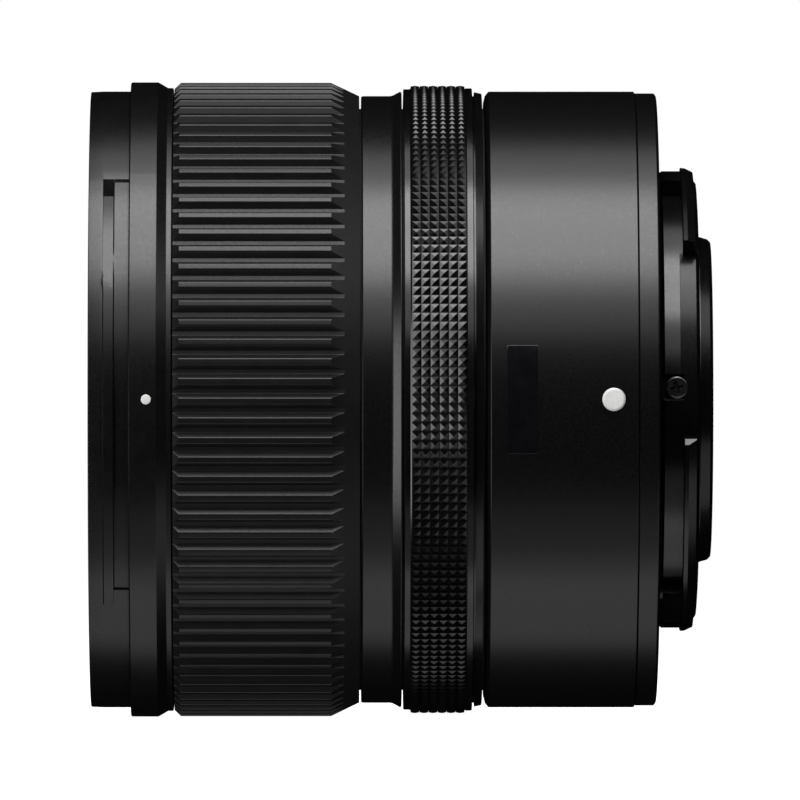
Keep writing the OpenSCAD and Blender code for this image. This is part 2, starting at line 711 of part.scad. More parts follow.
module zoom_pinion() {
    root = pinion_pitch_r - 1.25 * gear_module;
    outline = [for (i = [0:pinion_teeth - 1])
        for (p = tooth(pinion_teeth, gear_module, root, pinion_pitch_r + 0.85 * gear_module, 0.5))
            turned(p, i * 360 / pinion_teeth)];
    color("#d8d2c2") rotate([0, 0, motor_angle]) translate([pinion_circle, 0, 0]) {
        rotate([0, 0, 180 + 180 / pinion_teeth]) translate([0, 0, z_gear])
            linear_extrude(gear_w) polygon(outline);
        translate([0, 0, z_gear - 0.2]) cylinder(r = 0.5, h = gear_w + 4, $fn = 32);
    }
}

module front_cell() {
    color("#1b1b1d") difference() {
        lathe([[third_r - 1, z_third_seat - 0.3], [group_r, z_third_seat - 0.3],
            [group_r, z_g1 - 0.6], [front_r + 1.3, z_g1 - 0.6], [front_r + 1.3, z_g1 + 0.9],
            [front_r + 0.8, z_g1 + 1.2], [front_r + seat_fit, z_g1 + 1.2],
            [front_r + seat_fit, z_front_seat], [second_r + seat_fit, z_front_seat],
            [second_r + seat_fit, z_second_seat], [third_r + seat_fit, z_second_seat],
            [third_r + seat_fit, z_third_seat], [third_r - 1, z_third_seat]]);
        for (a = [30, 150, 270]) spoke(follower_r + seat_fit, group_r - 1.5, guide_r, a, z_g1_pin);
    }
}

module front_element() {
    color("#8fa6b8") lens(front_r, z_front_lens, front_t, front_R, -front_back_R, front_clear);
}

module second_element() {
    color("#8fa6b8") lens(second_r, z_second_lens, second_t, second_R, -second_back_R,
        second_clear);
}

module third_element() {
    color("#8fa6b8") lens(third_r, z_third_lens, z_third_lens - z_third_seat, third_R, 0, 0);
}

module front_retainer() {
    z0 = z_front_lens - sag(front_R, front_r);
    z1 = z_front_lens - sag(front_R, front_r - 0.9);
    color("#141415") lathe([[front_r, z0 + 0.2], [front_r, z_g1 + 0.8], [front_r - 0.3, z_g1 + 0.8],
        [front_r - 0.9, z1 + 0.6], [front_r - 0.9, z1 + 0.2]]);
}

module front_followers() {
    color("#c9ccd0") for (a = [30, 150, 270])
        spoke(follower_r, group_r - 1.5, cam_r - 0.1, a, z_g1_pin);
}

module variator_cell() {
    color("#1b1b1d") {
        difference() {
            lathe([[vr_r + 1.5, z_var], [group_r, z_var], [group_r, z_var + 12.2],
                [group_r - 2.3, z_var + 12.2], [group_r - 2.3, z_var + 5.3],
                [group_r - 4.3, z_var + 5.3], [group_r - 4.3, z_var + 1], [vr_r + 1.5, z_var + 1]]);
            for (a = [90, 210, 330])
                spoke(follower_r + seat_fit, group_r - 1.8, guide_r, a, z_var_pin);
        }
        for (x = [-vr_pin, vr_pin]) translate([x, 0, z_var + 0.5])
            cylinder(r = 0.6, h = 1.5, $fn = 32);
    }
}

module variator_front() {
    color("#1b1b1d") lathe([[variator_r - 0.8, z_var + 9.45], [group_r - 2.35, z_var + 9.45],
        [group_r - 2.35, z_var + 11.8], [variator_r + 1.6, z_var + 12.4],
        [variator_r + seat_fit, z_var + 12.4], [variator_r + seat_fit, z_var + 10],
        [variator_r - 0.8, z_var + 10]]);
}

module variator_element() {
    color("#8fa6b8") lens(variator_r, z_variator_lens, z_variator_lens - z_var - 10,
        2.53 * variator_r, 0, 0);
}

module variator_followers() {
    color("#c9ccd0") for (a = [90, 210, 330])
        spoke(follower_r, group_r - 1.8, cam_r - 0.1, a, z_var_pin);
}

module iris_base() {
    color("#202022") lathe([[iris_open_r, z_var + 5.3], [group_r - 2.35, z_var + 5.3],
        [group_r - 2.35, z_var + 8.75], [pivot_r + 2.75, z_var + 8.75],
        [pivot_r + 2.75, z_var + 6.2], [iris_open_r, z_var + 6.2]]);
}

module iris_cover() {
    color("#202022") difference() {
        tube(group_r - 2.35, iris_open_r, z_var + 8.75, z_var + 9.45);
        for (i = [0:blades - 1])
            post(0.55, pivot_r, i * 360 / blades, z_var + 8, z_var + 10);
    }
}

module iris_drive_ring() {
    steps = 12;
    half = 0.58;
    left = [for (i = [0:steps]) drive_path(i / steps) + half * drive_side(i / steps)];
    right = [for (i = [steps:-1:0]) drive_path(i / steps) - half * drive_side(i / steps)];
    color("#6a6d70") difference() {
        tube(pivot_r + 2.65, iris_open_r + 0.4, z_var + 6.3, z_var + 7.1);
        for (k = [0:blades - 1]) rotate([0, 0, k * 360 / blades]) {
            translate([0, 0, z_var + 6]) linear_extrude(2) polygon(concat(left, right));
            for (t = [0, 1]) translate([drive_path(t).x, drive_path(t).y, z_var + 6])
                cylinder(r = half, h = 2, $fn = 32);
        }
    }
}

module iris_blade(i) {
    z = z_blades + i * layer;
    inner = iris_open_r + 0.3;
    outer = pivot_r - 3;
    pin = turned([pivot_r, 0], -12);
    band = concat([for (a = [-6:4:78]) turned([outer, 0], a)],
        [for (a = [78:-4:-6]) turned([inner, 0], a)]);
    color("#2a2a2c") rotate([0, 0, i * 360 / blades]) {
        translate([0, 0, z]) linear_extrude(blade_t) polygon(band);
        translate([0, 0, z]) linear_extrude(blade_t) polygon([turned([outer - 1, 0], -6),
            turned([pivot_r - 0.6, 0], -15), turned([pivot_r + 0.9, 0], -14),
            turned([pivot_r + 1, 0], 1), turned([pivot_r - 0.4, 0], 5), turned([outer - 1, 0], 16)]);
        translate([pivot_r, 0, z]) cylinder(r = 0.5, h = z_var + 9.3 - z, $fn = 32);
        translate([pin.x, pin.y, z_var + 6.5])
            cylinder(r = 0.5, h = z + blade_t - z_var - 6.5, $fn = 32);
    }
}

module vr_guide() {
    color("#5c5f63") {
        difference() {
            tube(vr_pin + 2.5, vr_pin - 2.8, z_var + 1.3, z_var + 2.1);
            for (x = [-vr_pin, vr_pin])
                plate_slot(x, 0, 0.66, vr_travel + 0.05, 0, z_var + 1, z_var + 3);
        }
        for (y = [-vr_pin, vr_pin]) translate([0, y, z_var + 1.8])
            cylinder(r = 0.6, h = 1.4, $fn = 32);
    }
}

module vr_cell() {
    color("#1b1b1d") difference() {
        union() {
            tube(vr_pin + 1.6, vr_r + 1, z_var + 2.4, z_var + 3.4);
            lathe([[vr_r - 0.7, z_var + 1.6], [vr_r + 1.6, z_var + 1.6], [vr_r + 1.6, z_var + 4.3],
                [vr_r + seat_fit, z_var + 4.3], [vr_r + seat_fit, z_var + 2.3],
                [vr_r - 0.7, z_var + 2.3]]);
        }
        for (y = [-vr_pin, vr_pin])
            plate_slot(0, y, 0.66, 0, vr_travel + 0.05, z_var + 2, z_var + 4);
    }
}

module vr_element() {
    color("#8fa6b8") lens(vr_r, z_var + 4.9, 2.6, 3.25 * vr_r, 0, 0);
}

module focus_cell() {
    z0 = z_frame + focus_gap;
    color("#1b1b1d") difference() {
        union() {
            lathe([[focus_r - 0.8, z0], [focus_r + 1.5, z0], [focus_r + 1.5, z0 + 4],
                [focus_r + seat_fit, z0 + 4], [focus_r + seat_fit, z0 + 0.8],
                [focus_r - 0.8, z0 + 0.8]]);
            bar(focus_r + 0.8, rod_circle, 3, z0 + 1.4, z0 + 2.6, rod_angles[0]);
            post(1.7, rod_circle, rod_angles[0], z0, z0 + focus_sleeve);
            bar(focus_r + 0.8, rod_circle + 1.8, 3.4, z0 + 1.4, z0 + 2.6, rod_angles[1]);
            bar(focus_r + 0.8, rod_circle, 2.4, z0 + 2.2, z0 + 3.2, screw_angle);
            post(1.6, rod_circle, screw_angle, z0 + 2.2, z0 + 3.2);
        }
        post(rod_r + run_fit, rod_circle, rod_angles[0], z0 - 1, z0 + 5);
        bar(rod_circle - 1.2, rod_circle + 3, 2 * (rod_r + run_fit), z0, z0 + 4, rod_angles[1]);
        post(rod_r - 0.3 + run_fit, rod_circle, screw_angle, z0, z0 + 5);
    }
}

module focus_element() {
    color("#8fa6b8") lens(focus_r, z_frame + 4.2, 2, -4 * focus_r, 0, focus_r - 1);
}

module focus_screw() {
    color("#c9ccd0") post(rod_r - 0.3, rod_circle, screw_angle, z_frame + 0.9, z_guide + 0.6);
}

lay() bayonet_mount();
lay() mount_screws();
lay() stop_screw();
lay() contact_block();
lay() contact_pins();
lay() rear_baffle();
lay() small_screws();
lay() rear_ring();
lay() rear_barrel();
lay() name_plate();
lay() mount_index();
lay() fixed_barrel();
lay() mid_ring();
lay() front_ring();
lay() hood_index();
lay() front_bezel();
lay() guide_barrel();
lay() cam_retainer();
lay() rear_frame();
lay() rear_cell();
lay() rear_inner_element();
lay() rear_outer_element();
lay() main_board();
lay() zoom_motor();
lay() focus_motor();
lay() focus_rods();
lay() ring_sensors();
lay() zoom_ring();
lay() zoom_scale();
lay() control_ring();
lay() control_scale();
lay() cam_barrel();
lay() cam_gear();
lay() zoom_pinion();
lay() front_cell();
lay() front_element();
lay() second_element();
lay() third_element();
lay() front_retainer();
lay() front_followers();
lay() variator_cell();
lay() variator_front();
lay() variator_element();
lay() variator_followers();
lay() iris_base();
lay() iris_cover();
lay() iris_drive_ring();
lay() iris_blade(0);  // iris_blade_1
lay() iris_blade(1);  // iris_blade_2
lay() iris_blade(2);  // iris_blade_3
lay() iris_blade(3);  // iris_blade_4
lay() iris_blade(4);  // iris_blade_5
lay() iris_blade(5);  // iris_blade_6
lay() iris_blade(6);  // iris_blade_7
lay() vr_guide();
lay() vr_cell();
lay() vr_element();
lay() focus_cell();
lay() focus_element();
lay() focus_screw();
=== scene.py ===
"""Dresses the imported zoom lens: turned rings, grips, glass and finishes, and the studio round it."""

import json
import math

import bmesh
import bpy
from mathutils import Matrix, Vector

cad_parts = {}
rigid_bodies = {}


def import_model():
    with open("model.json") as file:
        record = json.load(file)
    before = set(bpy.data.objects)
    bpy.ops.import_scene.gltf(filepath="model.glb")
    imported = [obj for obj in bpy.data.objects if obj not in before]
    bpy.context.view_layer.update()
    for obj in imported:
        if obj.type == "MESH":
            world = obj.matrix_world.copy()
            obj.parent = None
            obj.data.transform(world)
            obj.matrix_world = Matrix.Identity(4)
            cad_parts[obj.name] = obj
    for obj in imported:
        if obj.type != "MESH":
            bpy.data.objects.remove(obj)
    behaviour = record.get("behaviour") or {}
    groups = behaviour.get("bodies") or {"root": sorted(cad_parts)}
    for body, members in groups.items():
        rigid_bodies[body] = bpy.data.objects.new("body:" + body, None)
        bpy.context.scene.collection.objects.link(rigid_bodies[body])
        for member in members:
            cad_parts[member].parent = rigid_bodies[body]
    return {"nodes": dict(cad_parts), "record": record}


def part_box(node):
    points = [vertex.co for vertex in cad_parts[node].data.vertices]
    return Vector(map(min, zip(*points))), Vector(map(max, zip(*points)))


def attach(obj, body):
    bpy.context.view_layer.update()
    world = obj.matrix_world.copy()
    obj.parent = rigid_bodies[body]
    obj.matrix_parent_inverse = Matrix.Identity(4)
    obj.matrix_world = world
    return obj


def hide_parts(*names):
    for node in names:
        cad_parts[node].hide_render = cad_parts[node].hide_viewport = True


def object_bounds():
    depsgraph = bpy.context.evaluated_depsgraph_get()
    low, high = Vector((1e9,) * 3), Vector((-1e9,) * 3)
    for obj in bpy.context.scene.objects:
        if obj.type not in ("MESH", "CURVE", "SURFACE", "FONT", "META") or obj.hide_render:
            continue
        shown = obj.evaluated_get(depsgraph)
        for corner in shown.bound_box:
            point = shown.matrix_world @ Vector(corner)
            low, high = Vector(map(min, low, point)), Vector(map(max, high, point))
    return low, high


bl_info = {
    "name": "Zoom lens dressing",
    "version": (1, 0, 0),
    "blender": (4, 5, 0),
    "location": "3D View > Sidebar > Lens",
    "description": "Rings, grips, glass, finishes and studio of a camera zoom lens",
    "category": "Object",
}

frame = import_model()
cad_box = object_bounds()

# The optical axis is Y. Lengths are millimetres and angles are degrees until at() or MM makes metres.
MM = 0.001
AXIS = (0.0, 1.0, 0.0)
CENTRE = (0.0, 0.0, 0.0)
WELD = 0.002 * MM
SAME_PLACE = 0.01
SAME_ANGLE = 0.02
SHARP_EDGE = math.radians(34)

GRIP_BORE = 33.1
SHELL_BORE = 33.02

USUAL_NOISE = (0.3, 0.7)


def ends(node):
    """Distances ahead of the mount flange between which a CAD node lies."""
    low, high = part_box(node)
    return -high.y / MM, -low.y / MM


def reach(node):
    """Largest radius of a round CAD node."""
    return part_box(node)[1].z / MM


def at(radius, ahead, degrees=0.0):
    """Place in metres from a radius, a distance ahead of the flange and an angle."""
    a = math.radians(degrees)
    return Vector((radius * math.cos(a), -ahead, radius * math.sin(a))) * MM


def spot(radius, ahead, degrees, across):
    """Place in metres on the tangent at an angle, a distance across from where it touches."""
    return at(radius, ahead, degrees) + at(across, 0, degrees + 90)


def clock(count, first=0.0):
    """Angles in radians of points spaced evenly round a circle."""
    return [math.radians(first + i * 360 / count) for i in range(count)]


def angle_of(place):
    """Angle of a place about the optical axis."""
    return math.degrees(math.atan2(place.z, place.x))


def angle_off(place, degrees):
    """Angle between a place and a direction about the optical axis."""
    return abs((angle_of(place) - degrees + 180) % 360 - 180)


def radius_of(place):
    """Distance of a place from the optical axis."""
    return math.hypot(place.x, place.z) / MM


def middle(edge):
    """Middle of an edge."""
    return (edge.verts[0].co + edge.verts[1].co) / 2


def is_sharp(edge):
    """Whether two faces meet at an edge with a clear corner."""
    return len(edge.link_faces) == 2 and edge.calc_face_angle(0) > SHARP_EDGE


def begin(name):
    """Adds a new piece and leaves it empty in edit mode."""
    if bpy.context.object and bpy.context.object.mode != "OBJECT":
        bpy.ops.object.mode_set(mode="OBJECT")
    bpy.ops.object.select_all(action="DESELECT")
    bpy.ops.mesh.primitive_plane_add(size=MM, location=CENTRE)
    piece = bpy.context.object
    piece.name = piece.data.name = name
    bpy.ops.object.mode_set(mode="EDIT")
    bpy.ops.mesh.select_all(action="SELECT")
    bpy.ops.mesh.delete(type="VERT")
    return piece


def pick(piece, kind, test):
    """Selects the points, edges or faces in edit mode that pass a test."""
    bpy.ops.mesh.select_mode(type=kind)
    bpy.ops.mesh.select_all(action="DESELECT")
    mesh = bmesh.from_edit_mesh(piece.data)
    mesh.normal_update()
    for part in {"VERT": mesh.verts, "EDGE": mesh.edges, "FACE": mesh.faces}[kind]:
        if test(part):
            part.select_set(True)
    mesh.select_flush_mode()
    bmesh.update_edit_mesh(piece.data)


def pick_at(piece, degrees, radius, low, high):
    """Selects the points at one angle and radius, between two distances ahead."""
    pick(piece, "VERT", lambda v: angle_off(v.co, degrees) < SAME_ANGLE
         and abs(radius_of(v.co) - radius) < SAME_PLACE
         and low - SAME_PLACE < -v.co.y / MM < high + SAME_PLACE)


def set_radius(piece, degrees, ahead, old, new):
    """Moves the points at one angle, distances ahead and radius to a new radius."""
    pick_at(piece, degrees, old, *ahead)
    bpy.ops.transform.resize(value=(new / old, 1, new / old), center_override=CENTRE)


def draw(piece, places, rounds=None):
    """Draws a closed outline by extruding a point from place to place, and rounds chosen corners."""
    bpy.ops.mesh.select_mode(type="VERT")
    bpy.ops.mesh.primitive_plane_add(size=MM, location=CENTRE)
    bpy.ops.mesh.merge(type="CENTER")
    bpy.ops.transform.translate(value=places[0])
    for a, b in zip(places, places[1:] + places[:1]):
        bpy.ops.mesh.extrude_region_move(TRANSFORM_OT_translate={"value": b - a})
    bpy.ops.mesh.select_linked()
    bpy.ops.mesh.remove_doubles(threshold=WELD)
    for size in sorted(set(rounds or []) - {0}):
        corners = [p for p, r in zip(places, rounds) if r == size]
        pick(piece, "VERT", lambda v: v.is_wire and any((v.co - c).length < WELD for c in corners))
        bpy.ops.mesh.bevel(affect="VERTICES", offset=size * MM, segments=3, clamp_overlap=False)
    bpy.ops.mesh.select_linked()


def turn(piece, profile, start=0.0, stop=360.0, steps=180):
    """Draws a profile of (radius, distance ahead, rounding) and spins it about the optical axis."""
    draw(piece, [at(p[0], p[1], start) for p in profile], [(*p, 0)[2] for p in profile])
    bpy.ops.mesh.spin(steps=steps, angle=math.radians(stop - start), center=CENTRE, axis=AXIS)
    bpy.ops.mesh.select_linked()
    if stop - start >= 360:
        bpy.ops.mesh.remove_doubles(threshold=WELD)


def repeat(count):
    """Copies all that is drawn so far round the axis, count in all, and welds the copies."""
    bpy.ops.mesh.select_all(action="SELECT")
    bpy.ops.mesh.spin(steps=count - 1, dupli=True, angle=math.tau * (count - 1) / count,
                      center=CENTRE, axis=AXIS)
    bpy.ops.mesh.select_all(action="SELECT")
    bpy.ops.mesh.remove_doubles(threshold=WELD)
    bpy.ops.mesh.normals_make_consistent(inside=False)


def cut_away():
    """Takes the selected closed shape away from the rest of the piece."""
    bpy.ops.mesh.normals_make_consistent(inside=False)
    bpy.ops.mesh.intersect_boolean(operation="DIFFERENCE", solver="EXACT")
    bpy.ops.mesh.select_all(action="SELECT")
    bpy.ops.mesh.fill_holes(sides=0)


def cut_prism(piece, outline, along):
    """Cuts a prism out of the piece, from its outline and its length as a vector."""
    bpy.ops.mesh.select_all(action="DESELECT")
    draw(piece, outline)
    bpy.ops.mesh.edge_face_add()
    bpy.ops.mesh.extrude_region_move(TRANSFORM_OT_translate={"value": along})
    bpy.ops.mesh.select_linked()
    cut_away()


def close_up():
    """Merges doubles, fills open ends and turns the faces outwards."""
    bpy.ops.mesh.select_mode(type="VERT")
    bpy.ops.mesh.select_all(action="SELECT")
    bpy.ops.mesh.remove_doubles(threshold=WELD)
    bpy.ops.mesh.select_all(action="SELECT")
    bpy.ops.mesh.delete_loose()
    bpy.ops.mesh.select_all(action="SELECT")
    bpy.ops.mesh.fill_holes(sides=0)
    bpy.ops.mesh.select_all(action="SELECT")
    bpy.ops.mesh.normals_make_consistent(inside=False)


def settle(piece, body, material, node, smooth=28):
    """Leaves edit mode, smooths the shading and puts the piece on its body in place of a CAD node."""
    bpy.ops.object.mode_set(mode="OBJECT")
    bpy.ops.object.select_all(action="DESELECT")
    piece.select_set(True)
    bpy.context.view_layer.objects.active = piece
    bpy.ops.object.shade_smooth_by_angle(angle=math.radians(smooth))
    bpy.ops.object.modifier_add(type="WEIGHTED_NORMAL")
    piece.modifiers[-1].keep_sharp = True
    bpy.ops.object.modifier_apply(modifier=piece.modifiers[-1].name)
    piece.data.materials.clear()
    piece.data.materials.append(material)
    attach(piece, body)
    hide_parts(node)
    if not piece.data.polygons:
        raise RuntimeError(f"{piece.name} has no faces")


def put(tree, kind, values=None, **settings):
    """Adds a shader node with its settings and socket values."""
    made = tree.nodes.new(kind)
    for key, value in settings.items():
        setattr(made, key, value)
    for key, value in (values or {}).items():
        made.inputs[key].default_value = value
    return made


def finish(name):
    """Starts a finish: its node tree, its shader and its Object coordinates."""
    made = bpy.data.materials.get(name)
    if made:
        return made, None, None, None
    made = bpy.data.materials.new(name)
    made.use_nodes = True
    tree = made.node_tree
    shader = tree.nodes["Principled BSDF"]
    place = put(tree, "ShaderNodeTexCoord").outputs["Object"]
    return made, tree, shader, place


def spread(tree, value, old, new):
    """Maps a value from one range to another."""
    mapped = put(tree, "ShaderNodeMapRange", {"From Min": old[0], "From Max": old[1],
                                              "To Min": new[0], "To Max": new[1]})
    tree.links.new(value, mapped.inputs["Value"])
    return mapped.outputs["Result"]


def drift(tree, place, size, low, high, detail=3.0):
    """Noise of a grain size, spread between two values."""
    noise = put(tree, "ShaderNodeTexNoise",
                {"Scale": 1 / (size * MM), "Detail": detail, "Roughness": 0.6})
    tree.links.new(place, noise.inputs["Vector"])
    return spread(tree, noise.outputs["Fac"], USUAL_NOISE, (low, high))


def tinted(tree, shader, amount, dark, light):
    """Colour between two tones by a noise amount."""
    # Places of the colour sockets on a mix node, which has sockets of the same name for other kinds
    share, first, second, mixed = 0, 6, 7, 2
    mix = put(tree, "ShaderNodeMix", {first: (*dark, 1), second: (*light, 1)}, data_type="RGBA")
    tree.links.new(amount, mix.inputs[share])
    tree.links.new(mix.outputs[mixed], shader.inputs["Base Color"])


def bumped(tree, shader, height, depth):
    """Bump of a depth."""
    bump = put(tree, "ShaderNodeBump", {"Strength": 1.0, "Distance": depth * MM})
    tree.links.new(height, bump.inputs["Height"])
    tree.links.new(bump.outputs["Normal"], shader.inputs["Normal"])


def plastic(name, tone, rough, grain, depth, level=0.5):
    """Moulded plastic: faint colour drift, uneven gloss and a moulded grain."""
    made, tree, shader, place = finish(name)
    if tree is None:
        return made
    cloud, patch, uneven = 2.5, 0.4, 0.03
    light = [min(1, c * 1.35 + 0.001) for c in tone]
    tinted(tree, shader, drift(tree, place, cloud, 0, 1), tone, light)
    gloss = drift(tree, place, patch, rough - uneven, rough + uneven)
    tree.links.new(gloss, shader.inputs["Roughness"])
    bumped(tree, shader, drift(tree, place, grain, 0, 1), depth)
    shader.inputs["Specular IOR Level"].default_value = level
    return made


def matte_valleys(made, floor, crest, duller=0.1):
    """Roughens a grip's finish from its crests down to the floors of its valleys."""
    tree = made.node_tree
    place = next(n for n in tree.nodes if n.type == "TEX_COORD").outputs["Object"]
    flat = put(tree, "ShaderNodeVectorMath", operation="MULTIPLY")
    flat.inputs[1].default_value = (1 / MM, 0, 1 / MM)
    tree.links.new(place, flat.inputs[0])
    radius = put(tree, "ShaderNodeVectorMath", operation="LENGTH")
    tree.links.new(flat.outputs["Vector"], radius.inputs[0])
    added = spread(tree, radius.outputs["Value"], (floor, crest), (duller, 0.0))
    rough = tree.nodes["Principled BSDF"].inputs["Roughness"]
    total = put(tree, "ShaderNodeMath", operation="ADD")
    tree.links.new(rough.links[0].from_socket, total.inputs[0])
    tree.links.new(added, total.inputs[1])
    tree.links.new(total.outputs["Value"], rough)


def speckled(name, tone, speck, rough, grain, depth):
    """Fine-grained paint: a dark coat with small lighter specks and a sandy bump."""
    made, tree, shader, place = finish(name)
    if tree is None:
        return made
    dot_core, dot_edge = 0.1, 0.42
    patch, uneven = 0.3, 0.03
    cells = put(tree, "ShaderNodeTexVoronoi", {"Scale": 1 / (grain * MM)})
    tree.links.new(place, cells.inputs["Vector"])
    dots = spread(tree, cells.outputs["Distance"], (dot_core, dot_edge), (1.0, 0.0))
    tinted(tree, shader, dots, tone, speck)
    gloss = drift(tree, place, patch, rough - uneven, rough + uneven)
    tree.links.new(gloss, shader.inputs["Roughness"])
    bumped(tree, shader, cells.outputs["Distance"], depth)
    return made


def metal(name, tone, rough, along=(1, 1, 1)):
    """Metal with drawn or turned marks, stretched by the along factors."""
    made, tree, shader, place = finish(name)
    if tree is None:
        return made
    mark_size, mark_depth, patch = 0.12, 0.002, 0.5
    stretch = put(tree, "ShaderNodeMapping", {"Scale": along})
    tree.links.new(place, stretch.inputs["Vector"])
    marks = drift(tree, stretch.outputs["Vector"], mark_size, 0, 1, detail=4.0)
    tinted(tree, shader, marks, [c * 0.8 for c in tone], tone)
    shader.inputs["Metallic"].default_value = 1.0
    gloss = drift(tree, place, patch, rough - 0.06, rough + 0.08)
    tree.links.new(gloss, shader.inputs["Roughness"])
    bumped(tree, shader, marks, mark_depth)
    return made


def glass(name, film, tint):
    """Optical glass with a thin coating, of a thickness in nanometres, that colours its reflections."""
    made, tree, shader, place = finish(name)
    if tree is None:
        return made
    shader.inputs["Transmission Weight"].default_value = 1.0
    shader.inputs["IOR"].default_value = 1.6
    shader.inputs["Thin Film Thickness"].default_value = film
    shader.inputs["Thin Film IOR"].default_value = 1.38
    cloud, patch, roughest = 6, 3, 0.012
    tinted(tree, shader, drift(tree, place, cloud, 0, 1), tint, [min(1, c * 1.02) for c in tint])
    tree.links.new(drift(tree, place, patch, 0.0, roughest), shader.inputs["Roughness"])
    return made


def barrel_paint(colours):
    """Speckled paint of the fixed rings."""
    return speckled("speckled paint", colours.paint, colours.speck, rough=0.3, grain=0.22, depth=0.0012)


def front_plastic(colours):
    """Smooth plastic of the front ring."""
    return plastic("front_black", colours.front, rough=0.3, grain=0.2, depth=0.0004)


def knurl_plastic(colours):
    """Crisp plastic of the knurled control ring."""
    return plastic("knurled black", colours.front, rough=0.2, grain=0.2, depth=0.0004)


def rib_rubber(colours):
    """Rubber of the ribbed zoom ring."""
    return plastic("ribbed black", colours.grip, rough=0.34, grain=0.2, depth=0.0008, level=0.38)


def bayonet_plastic(colours):
    """Hard plastic of the bayonet."""
    return plastic("bayonet_black", colours.front, rough=0.23, grain=0.2, depth=0.0005)


def index_ink(colours):
    """White of the index dots."""
    return plastic("mark_ink", colours.mark, rough=0.35, grain=0.05, depth=0.001)


def plate_gloss():
    """Gloss black of the bare plate."""
    return plastic("gloss black", (0.004, 0.004, 0.005), rough=0.16, grain=0.4, depth=0.0006)


def screw_steel():
    """Blackened steel of the screws."""
    return metal("screw_black", (0.12, 0.12, 0.125), rough=0.35)


class LensColours(bpy.types.PropertyGroup):
    """Colours of the visible finishes."""

    paint: bpy.props.FloatVectorProperty(
        name="Barrel paint", description="Dark tone of the speckled barrel paint",
        subtype="COLOR", size=3, min=0, max=1, default=(0.0030, 0.0030, 0.0033))
    speck: bpy.props.FloatVectorProperty(
        name="Paint specks", description="Light specks in the barrel paint",
        subtype="COLOR", size=3, min=0, max=1, default=(0.009, 0.009, 0.0095))
    grip: bpy.props.FloatVectorProperty(
        name="Grip", description="Tone of the ribbed zoom ring",
        subtype="COLOR", size=3, min=0, max=1, default=(0.006, 0.006, 0.0063))
    front: bpy.props.FloatVectorProperty(
        name="Front ring", description="Tone of the front ring, the knurled ring and the bayonet",
        subtype="COLOR", size=3, min=0, max=1, default=(0.0030, 0.0030, 0.0033))
    mark: bpy.props.FloatVectorProperty(
        name="Marks", description="Ink of the index dots",
        subtype="COLOR", size=3, min=0, max=1, default=(0.86, 0.86, 0.84))


class LensSizes(bpy.types.PropertyGroup):
    """Sizes of the details that only the dressed lens has."""

    ribs: bpy.props.IntProperty(
        name="Ribs", description="Ribs round the zoom ring", default=102, min=40, max=160)
    rib_depth: bpy.props.FloatProperty(
        name="Rib depth", description="Depth of the grooves between the ribs",
        subtype="DISTANCE", unit="LENGTH", default=0.7 * MM)
    rib_phase: bpy.props.FloatProperty(
        name="Rib phase", description="Turn of the ribs from the index line",
        subtype="ANGLE", unit="ROTATION", default=math.radians(-0.27))
    studs: bpy.props.IntProperty(
        name="Studs", description="Pyramids round the control ring", default=216, min=90, max=300)
    stud_rows: bpy.props.IntProperty(
        name="Stud rows", description="Rows of pyramids on the control ring", default=6, min=2, max=9)
    stud_pitch: bpy.props.FloatProperty(
        name="Stud pitch", description="Distance between the rows of pyramids",
        subtype="DISTANCE", unit="LENGTH", default=1.025 * MM)
    thread_pitch: bpy.props.FloatProperty(
        name="Thread pitch", description="Pitch of the filter thread",
        subtype="DISTANCE", unit="LENGTH", default=0.75 * MM)


class LENS_OT_zoom_ring(bpy.types.Operator):
    """Models one rib of the zoom ring, cuts its chamfers and copies it round"""

    bl_idname = "lens.zoom_ring"
    bl_label = "Zoom ring"

    def execute(self, context):
        sizes = context.scene.lens_sizes
        z0, z1 = ends("zoom_ring")
        crest = reach("zoom_ring")
        floor = crest - sizes.rib_depth / MM
        half = 180 / sizes.ribs
        land, foot = 0.29 * half, 0.77 * half
        floor_round, crest_round = 0.05, 0.1
        front_drop, front_run = 0.7, 0.7
        rear_drop, rear_run = 1.53, 3.2
        side = [(GRIP_BORE, half, 0), (floor, half, 0),
                (floor, foot, floor_round), (crest, land, crest_round)]
        section = [(r, -a, size) for r, a, size in side] + side[::-1]
        piece = begin("zoom_ring_grip")
        draw(piece, [at(r, z1, a) for r, a, _ in section], [size for _, _, size in section])
        bpy.ops.mesh.edge_face_add()
        bpy.ops.mesh.extrude_region_move(TRANSFORM_OT_translate={"value": at(0, z0 - z1)})
        for drop, ahead, outwards in ((front_drop, z1, (front_run, -front_drop, 0)),
                                      (rear_drop, z0, (rear_run, rear_drop, 0))):
            bpy.ops.mesh.select_all(action="SELECT")
            bpy.ops.mesh.bisect(plane_co=at(crest - drop, ahead), plane_no=Vector(outwards).normalized(),
                                use_fill=True, clear_outer=True)
        pick(piece, "FACE", lambda f: abs(abs(angle_of(f.calc_center_median())) - half) < SAME_ANGLE)
        bpy.ops.mesh.delete(type="FACE")
        repeat(sizes.ribs)
        bpy.ops.mesh.select_all(action="SELECT")
        bpy.ops.transform.rotate(value=sizes.rib_phase, orient_axis="Y", center_override=CENTRE)
        rubber = rib_rubber(context.scene.lens_colours)
        matte_valleys(rubber, floor, crest)
        settle(piece, "zoom_ring", rubber, "zoom_ring", smooth=22)
        return {"FINISHED"}


